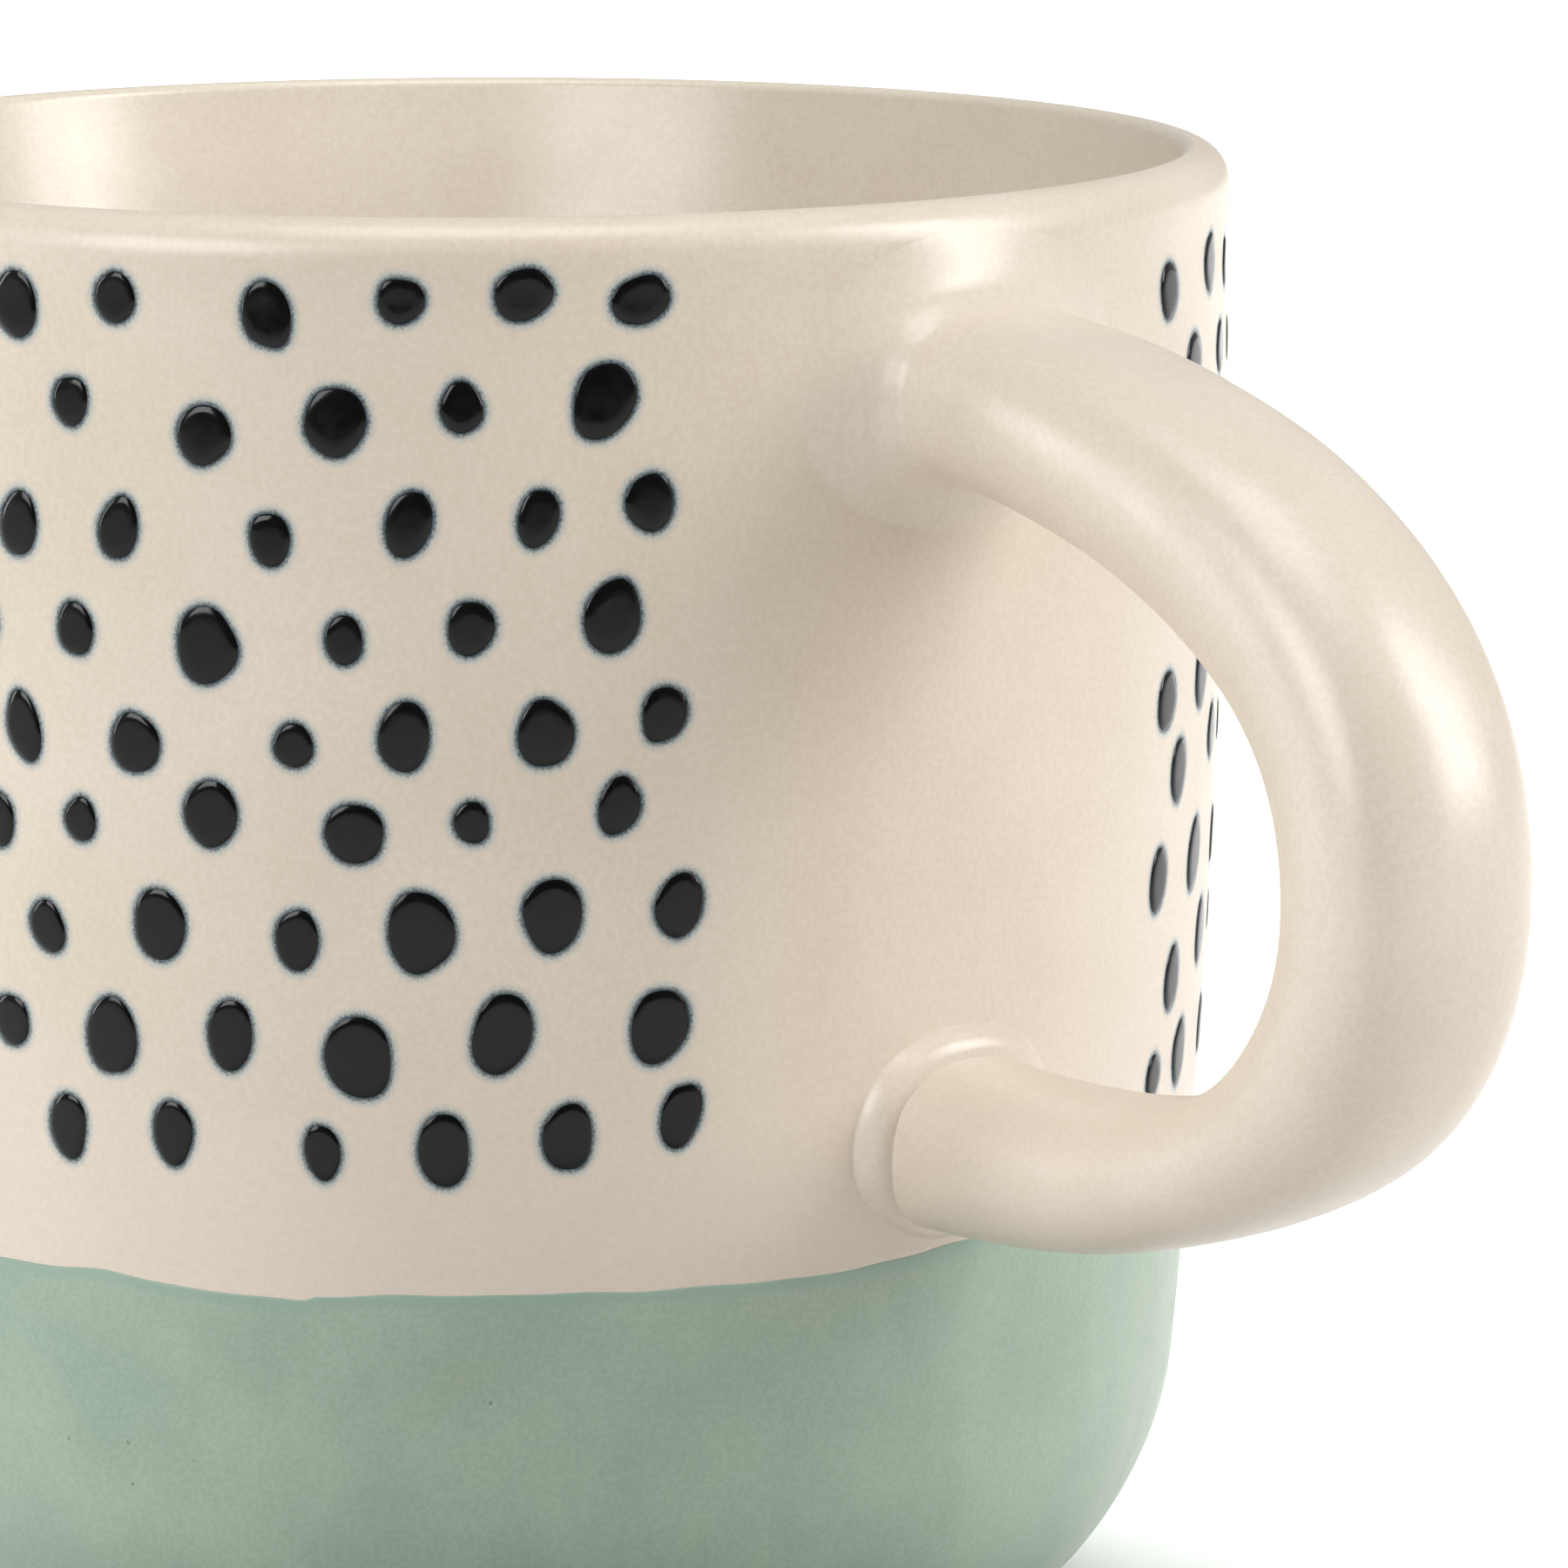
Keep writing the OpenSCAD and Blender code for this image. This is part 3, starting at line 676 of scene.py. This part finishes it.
def make_green():
    """The green coat: from its wavy line down round the corner to the foot, and a disc in the recess."""
    columns = 420
    far_below = 20.0
    turns = np.linspace(0, 2 * math.pi, columns, endpoint=False)
    rise = line_rise(turns)
    step = 0.08 * MM
    stand = 0.06 * MM
    # Depth below the line, and how far the coat stands off the cream one there
    edge_rows = [(0.0, -0.12 * MM), (0.0, 0.0), (0.02 * MM, 0.03 * MM), (step, 0.05 * MM), (3 * step, stand)]
    depths = list(np.arange(0.5 * MM, dip_z - outside_tangent_z, 0.7 * MM))
    rows, below, lifts = [], [], []
    for depth, lift in edge_rows + [(d, stand) for d in depths]:
        settle = 1 - smooth_step(0, 11 * MM, depth)
        z = dip_z - depth + rise * settle
        rows.append(z)
        below.append(np.full(columns, depth / MM))
        lifts.append(np.full(columns, lift))
    wall = skin(np.tile(turns, (len(rows), 1)), np.array(rows), np.array(lifts))
    points = list(wall)

    corner_end = -math.degrees(math.acos((foot_r + 0.35 * MM - outside_corner_r) / corner_r))
    corner_start = math.degrees(math.asin((outside_tangent_z - 0.6 * MM - corner_z) / corner_r))
    base_angle = math.degrees(math.asin(max(-1, (foot_h + 0.05 * MM - corner_z) / corner_r)))
    corner = arc(outside_corner_r, corner_z, corner_r, corner_start, max(base_angle, corner_end), 44)
    for index, (r, z) in enumerate(corner):
        ring = np.stack([r * np.cos(turns), r * np.sin(turns), np.full(columns, z)], -1)
        out = stand * (1 - index / len(corner)) - dents(ring)
        n_r, n_z = (r - outside_corner_r) / corner_r, (z - corner_z) / corner_r
        ring += np.stack([np.cos(turns) * n_r * out, np.sin(turns) * n_r * out, n_z * out], -1)
        points.append(ring)
        below.append(np.full(columns, far_below))
    under = [(foot_r + 0.2 * MM, foot_h), (foot_r - 0.1 * MM, foot_h + 0.1 * MM), (foot_r, foot_h + glaze_t)]
    under += [(outside_corner_r + (corner_r - glaze_t) * math.cos(math.radians(a)),
               corner_z + (corner_r - glaze_t) * math.sin(math.radians(a))) for a in (-52, -36, -18, -5)]
    under += [(float(outer_radius(z)) - glaze_t, z) for z in (24 * MM, dip_z - 2 * MM)]
    for r, z in under:
        points.append(np.stack([r * np.cos(turns), r * np.sin(turns), np.full(columns, z)], -1))
        below.append(np.full(columns, far_below))
    outer = np.concatenate(points)
    faces = grid_faces(len(points), columns, close_rows=True)

    disc_r = foot_r - foot_w - recess_margin
    face_z = recess_h - glaze_t
    disc = [(0, face_z)] + [(r, face_z) for r in np.linspace(1.5 * MM, disc_r - 0.5 * MM, 18)]
    disc += [(disc_r - 0.2 * MM, face_z + 0.06 * MM), (disc_r, recess_h - 0.12 * MM)]
    disc += [(disc_r, recess_h + 0.05 * MM), (0, recess_h + 0.05 * MM)]

    def pooled(pts):
        """The disc's face, slightly uneven, upwards from its lowest level."""
        face = pts[:, 2] < face_z + 0.1 * MM
        moved = np.zeros_like(pts)
        moved[:, 2] = np.where(face, 0.05 * MM * (1 + wave_field(pts, 6 * MM, 8)), 0)
        return moved

    disc_points, disc_faces = turned_solid(disc, 160, pooled)
    shift = len(outer)
    faces += [tuple(v + shift for v in f) for f in disc_faces]
    coat = make_object("green_coat", np.vstack([outer, disc_points]), faces, celadon)
    add_attribute(coat, "below_line", np.concatenate(below + [np.full(len(disc_points), far_below)]))
    return coat


# ---------------------------------------------------------------- the handle

along, up_axis, side = np.array([1.0, 0, 0]), np.array([0, 0, 1.0]), np.array([0, 1.0, 0])
upper_root_z = height - 10.4 * MM
lower_root_z = 37.8 * MM
upper_root = np.array([float(wall_radius(upper_root_z)), 0, upper_root_z])
lower_root = np.array([float(wall_radius(lower_root_z)), 0, lower_root_z])
bow = np.array([body_r + 34.7 * MM, 0, 57.5 * MM])
upper_run = 19.6 * MM * along - 2.2 * MM * up_axis
lower_run = 24.8 * MM * along - 1.0 * MM * up_axis
upper_curve = [upper_root, upper_root + upper_run, bow + 14.5 * MM * up_axis, bow]
lower_curve = [bow, bow - 12.5 * MM * up_axis, lower_root + lower_run, lower_root]
run_on = 60 * MM
handle_w = 13.4 * MM
handle_t = 10.8 * MM
squareness = 0.82

# The handle's thickness and width along its length, as shares of the full sizes
thickness_at = [0, 0.08, 0.25, 0.4, 0.5, 0.65, 0.78, 0.88, 1]
thickness_share = [0.84, 0.9, 1, 1, 0.97, 0.9, 0.68, 0.72, 0.88]
width_at = [0, 0.3, 0.6, 0.82, 1]
width_share = [1.03, 0.98, 1, 1, 0.77]


def curve_point(p, t):
    return (1 - t) ** 3 * p[0] + 3 * t * (1 - t) ** 2 * p[1] + 3 * t * t * (1 - t) * p[2] + t ** 3 * p[3]


def curve_heading(p, t):
    slope = (1 - t) ** 2 * (p[1] - p[0]) + 2 * t * (1 - t) * (p[2] - p[1]) + t * t * (p[3] - p[2])
    return slope / np.linalg.norm(slope)


def middle_line(s):
    """A point on the handle's middle line and its heading, for s from 0 at the upper root to 1 at the lower
    one. Past either root it runs straight on into the wall."""
    curve, t = (upper_curve, 2 * s) if s <= 0.5 else (lower_curve, 2 * s - 1)
    held = min(max(t, 0), 1)
    heading = curve_heading(curve, held)
    return curve_point(curve, held) + heading * (t - held) * run_on, heading


def eased(values_at, values, s):
    """Values along the handle, smoothed over their corners."""
    reach = 0.045
    return np.mean([np.interp(s + d, values_at, values) for d in np.linspace(-reach, reach, 9)])


def handle_ring(s, angles, grown):
    """The handle's soft-cornered oval at s, grown on every side."""
    point, heading = middle_line(s)
    out = np.array([-heading[2], 0, heading[0]])
    half_t = handle_t * eased(thickness_at, thickness_share, s) / 2 + grown
    half_w = handle_w * eased(width_at, width_share, s) / 2 + grown
    c, d = np.cos(angles), np.sin(angles)
    c = np.sign(c) * np.abs(c) ** squareness
    d = np.sign(d) * np.abs(d) ** squareness
    return point + np.outer(half_t * c, out) + np.outer(half_w * d, side)


def wall_meeting(s, toward, angles):
    """Where lines along the handle's surface, from its ring at s, run into the finished wall."""
    ring = handle_ring(s, angles, glaze_t)
    _, heading = middle_line(s)
    line = heading * toward
    for _ in range(8):
        gap = np.hypot(ring[:, 0], ring[:, 1]) - outer_radius(ring[:, 2])
        ring = ring - np.outer(gap / line[0], line)
    return ring, -line


def smooth_through(points, count):
    """A smooth curve through a few points, as many points as asked."""
    points = np.array([2 * np.array(points[0]) - points[1], *points, 2 * np.array(points[-1]) - points[-2]])
    found = []
    for i in np.linspace(1, len(points) - 2, count):
        k = min(int(i), len(points) - 3)
        t = i - k
        a, b, c, d = points[k - 1:k + 3]
        slope, bend, twist = c - a, 2 * a - 5 * b + 4 * c - d, 3 * b - a - 3 * c + d
        found.append(0.5 * (2 * b + slope * t + bend * t * t + twist * t ** 3))
    return found


def joint_rings(s, toward, angles, section, spread):
    """Rings of the slip worked in between handle and wall, from the wall out to the handle. The section is
    (distance over the wall, distance along the handle) from the bare corner, and spread scales it round the
    joint. Within the settling distance of the corner, the rings ease from it onto the dented wall."""
    settling = 0.5 * MM
    corner, along_handle = wall_meeting(s, toward, angles)
    turn = np.arctan2(corner[:, 1], corner[:, 0])
    r = np.hypot(corner[:, 0], corner[:, 1])
    root_z = corner[:, 2].mean()
    over = np.stack([turn * r, corner[:, 2] - root_z], -1)
    over = over / np.linalg.norm(over, axis=1)[:, None]
    rings = []
    for a, b in section:
        share = spread(angles)
        on_wall = skin(turn + over[:, 0] * a * share / r, corner[:, 2] + over[:, 1] * a * share)
        settled = corner + (on_wall - corner) * np.clip(a / settling, 0, 1)
        rings.append(settled + np.outer(b * (0.35 + 0.65 * share), along_handle))
    return rings


def make_handle():
    """The handle's glaze in one skin with the worked-in joints, closed within over the clay."""
    sides = 72
    angles = np.linspace(0, 2 * math.pi, sides, endpoint=False)
    upper_section = smooth_through([
        (6.4 * MM, -0.12 * MM), (5.5 * MM, -0.02 * MM), (4.5 * MM, 0.17 * MM), (3.2 * MM, 0.60 * MM),
        (1.8 * MM, 1.25 * MM), (0.8 * MM, 2.05 * MM), (0.18 * MM, 3.2 * MM), (0, 4.6 * MM),
    ], 34)
    lower_section = smooth_through([
        (1.95 * MM, -0.10 * MM), (1.72 * MM, 0.06 * MM), (1.45 * MM, 0.5 * MM), (1.05 * MM, 0.95 * MM),
        (0.6 * MM, 1.15 * MM), (0.28 * MM, 1.17 * MM), (0.06 * MM, 1.2 * MM), (0, 1.6 * MM),
    ], 32)

    def upper_spread(a):
        c = np.cos(a)
        return 0.86 * (1 - c ** 2) + (0.68 + 0.06 * c) * c ** 2

    def lower_spread(a):
        return 0.4 + 0.6 * smooth_step(-0.8, 0.0, -np.cos(a))

    rings = joint_rings(0.0, -1, angles, upper_section, upper_spread)
    for s in np.linspace(0.055, 0.972, 110):
        rings.append(handle_ring(s, angles, glaze_t))
    rings += list(reversed(joint_rings(1.0, 1, angles, lower_section, lower_spread)))
    outer_count = len(rings)
    inner = [handle_ring(s, angles, -0.2 * MM) for s in np.linspace(1.03, -0.03, 60)]
    everything = np.concatenate(rings)

    # The hand's soft marks, inwards, fading out towards the wall
    pressed = 0.5 + 0.5 * wave_field(everything, 9 * MM, 11)
    from_wall = np.hypot(everything[:, 0], everything[:, 1]) - outer_radius(everything[:, 2])
    clear = smooth_step(0.3 * MM, 6 * MM, from_wall)
    centre = np.concatenate([np.broadcast_to(ring.mean(0), ring.shape) for ring in rings])
    inwards = centre - everything
    inwards /= np.linalg.norm(inwards, axis=1)[:, None]
    everything = everything + inwards * (0.16 * MM * pressed * clear)[:, None]

    points = np.vstack([everything] + inner)
    faces = grid_faces(outer_count + len(inner), sides, close_rows=True)
    return make_object("handle_coat", points, faces, cream_handle, 70)


def end_ring(ring):
    """A ring drawn in almost to its middle, for a flat end."""
    middle = ring.mean(0)
    return middle + 0.02 * (ring - middle)


def core(name, first, last, shrunk, hollow=None):
    """The handle's section from station first to last, smaller than the bare clay by shrunk on every side.
    Where hollow is given it is a sleeve, whose inside is smaller than the bare clay by hollow."""
    angles = np.linspace(0, 2 * math.pi, 48, endpoint=False)
    stations = np.linspace(first, last, max(4, int(round((last - first) * 70))))
    rings = [handle_ring(s, angles, -shrunk) for s in stations]
    if hollow is None:
        rings = [end_ring(rings[0])] + rings + [end_ring(rings[-1])]
    else:
        rings += [handle_ring(s, angles, -hollow) for s in reversed(stations)]
    faces = grid_faces(len(rings), len(angles), close_rows=hollow is not None)
    if hollow is None:
        last_ring = (len(rings) - 1) * len(angles)
        faces.append(tuple(range(len(angles))))
        faces.append(tuple(last_ring + k for k in reversed(range(len(angles)))))
    return make_object(name, np.concatenate(rings), faces, stoneware)


# ---------------------------------------------------------------- pieces

clay = make_clay()
liner = make_liner()
cream = make_cream()
green = make_green()
handle = make_handle()
handle_clay = core("handle_clay", -0.03, 1.03, 0.9 * MM)
upper_slip = core("upper_slip", -0.02, 0.05, 0.25 * MM, 0.85 * MM)
lower_slip = core("lower_slip", 0.96, 1.02, 0.25 * MM, 0.85 * MM)
spots_in_front = make_object("front_spots", *spot_solids(front_spots), gloss_black, 80)
spots_behind = make_object("back_spots", *spot_solids(back_spots), gloss_black, 80)

pieces = (
    (clay, "clay_body", "bare_clay"),
    (liner, "liner_glaze", "liner_glaze"),
    (cream, "cream_glaze", "cream_glaze"),
    (green, "green_glaze", "green_glaze"),
    (handle, "handle_glaze", "cream_glaze"),
    (handle_clay, "clay_handle", "bare_clay"),
    (upper_slip, "upper_slip_joint", "bare_clay"),
    (lower_slip, "lower_slip_joint", "bare_clay"),
    (spots_in_front, "spots_front", "black_glaze"),
    (spots_behind, "spots_back", "black_glaze"),
)
for piece, node, slot in pieces:
    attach(piece, "root")
    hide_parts(node)

# ---------------------------------------------------------------- floor, light and camera

view_azimuth = 52


def make_floor():
    """A wide pale table top, whose front edge lies a little way before the mug."""
    p = Paint("pale_floor")
    colour = p.mix(p.noise(0.4, 2), (0.90, 0.90, 0.90), (0.93, 0.93, 0.93))
    p.shader.inputs["Specular IOR Level"].default_value = 0.2
    material = p.finish(colour, p.spread(p.noise(0.05, 2), 0.3, 0.7, 0.7, 0.8))
    half, front, cells = 4.0, 0.5, 8
    towards = direction(view_azimuth, 0)
    across = Vector((-towards.y, towards.x, 0))
    points = [a * across + b * towards
              for b in np.linspace(-half, front, cells + 1) for a in np.linspace(-half, half, cells + 1)]
    n = cells + 1
    faces = [(j * n + i, j * n + i + 1, (j + 1) * n + i + 1, (j + 1) * n + i)
             for j in range(cells) for i in range(cells)]
    floor = make_object("floor", points, faces, material, closed=False)
    floor.location.z = cad_bounds[0][2] - 0.02 * MM
    return floor


def direction(azimuth, elevation):
    """A unit vector towards an azimuth and elevation, where azimuth 0 is towards -Y and 90 is towards +X."""
    a, e = math.radians(azimuth), math.radians(elevation)
    return Vector((math.sin(a) * math.cos(e), -math.cos(a) * math.cos(e), math.sin(e)))


def soft_box(name, azimuth, elevation, distance, size, power, colour=(1, 1, 1), aim=(0, 0, 0.05)):
    """A rectangular light that faces the aim."""
    light = bpy.data.lights.new(name, "AREA")
    light.shape = "RECTANGLE"
    light.size, light.size_y = size
    light.energy = power
    light.color = colour
    lamp = bpy.data.objects.new(name, light)
    lamp.location = Vector(aim) + distance * direction(azimuth, elevation)
    lamp.rotation_euler = (Vector(aim) - lamp.location).to_track_quat("-Z", "Y").to_euler()
    bpy.context.scene.collection.objects.link(lamp)
    return lamp


floor = make_floor()
behind = direction(view_azimuth + 180, 0)
key_light = soft_box("key", 128, 27, 0.9, (0.30, 0.66), 5.0)
side_light = soft_box("side", 7, 22, 0.9, (0.46, 0.48), 3.6)
inside_light = soft_box("inside", 25, 22, 0.9, (0.50, 0.48), 3.3)
edge_light = soft_box("edge", -40, 8, 0.9, (0.15, 0.5), 1.8)
top_light = soft_box("top", view_azimuth, 78, 0.8, (0.5, 0.5), 2.1)
floor_light = soft_box("floor", 0, 90, 1.1, (1.7, 1.7), 38, aim=behind * 1.05)


def light_only(light, name, objects):
    """Let a light fall on these objects and no others."""
    lit = bpy.data.collections.new(name)
    for lit_object in objects:
        lit.objects.link(lit_object)
    light.light_linking.receiver_collection = lit


# One light whitens the floor, one falls on the mug's inside alone, and the others fall on the mug
mug_pieces = [piece for piece, _, _ in pieces]
outside_pieces = [piece for piece in mug_pieces if piece != liner]
light_only(floor_light, "floor_only", [floor])
light_only(inside_light, "liner_only", [liner])
for light in (side_light, edge_light):
    light_only(light, "outside_under_" + light.name, outside_pieces)
for light in (key_light, top_light):
    light_only(light, "mug_under_" + light.name, mug_pieces)

world = bpy.data.worlds.new("studio")
world.use_nodes = True
tree = world.node_tree
background = tree.nodes["Background"]
background.inputs["Color"].default_value = (1, 0.995, 0.985, 1)
place = tree.nodes.new("ShaderNodeTexCoord")
facing = tree.nodes.new("ShaderNodeVectorMath")
facing.operation = "DOT_PRODUCT"
facing.inputs[1].default_value = direction(view_azimuth, 0)
shade = tree.nodes.new("ShaderNodeMapRange")
shade.inputs["From Min"].default_value = -0.3
shade.inputs["From Max"].default_value = 0.9
shade.inputs["To Min"].default_value = 0.45
shade.inputs["To Max"].default_value = 0.06
seen = tree.nodes.new("ShaderNodeLightPath")
backdrop = tree.nodes.new("ShaderNodeMix")
backdrop.inputs["B"].default_value = 1
tree.links.new(place.outputs["Generated"], facing.inputs[0])
tree.links.new(facing.outputs["Value"], shade.inputs["Value"])
tree.links.new(seen.outputs["Is Camera Ray"], backdrop.inputs["Factor"])
tree.links.new(shade.outputs["Result"], backdrop.inputs["A"])
tree.links.new(backdrop.outputs["Result"], background.inputs["Strength"])
bpy.context.scene.world = world
bpy.context.scene.view_settings.view_transform = "Standard"

camera_data = bpy.data.cameras.new("camera")
camera_data.lens = 174.5
camera_data.sensor_width = 36
camera_data.clip_start = 0.02
camera = bpy.data.objects.new("camera", camera_data)
towards_viewer = direction(view_azimuth, 0)
to_the_right = Vector((-towards_viewer.y, towards_viewer.x, 0))
camera_distance, camera_height = 0.46, 0.1366
yaw, pitch = math.radians(2.32), math.radians(10.38)
level = -towards_viewer * math.cos(yaw) + to_the_right * math.sin(yaw)
looking = level * math.cos(pitch) - Vector((0, 0, 1)) * math.sin(pitch)
camera.location = towards_viewer * camera_distance + Vector((0, 0, camera_height))
camera.rotation_euler = looking.to_track_quat("-Z", "Y").to_euler()
bpy.context.scene.collection.objects.link(camera)
bpy.context.scene.camera = camera

bpy.context.view_layer.update()
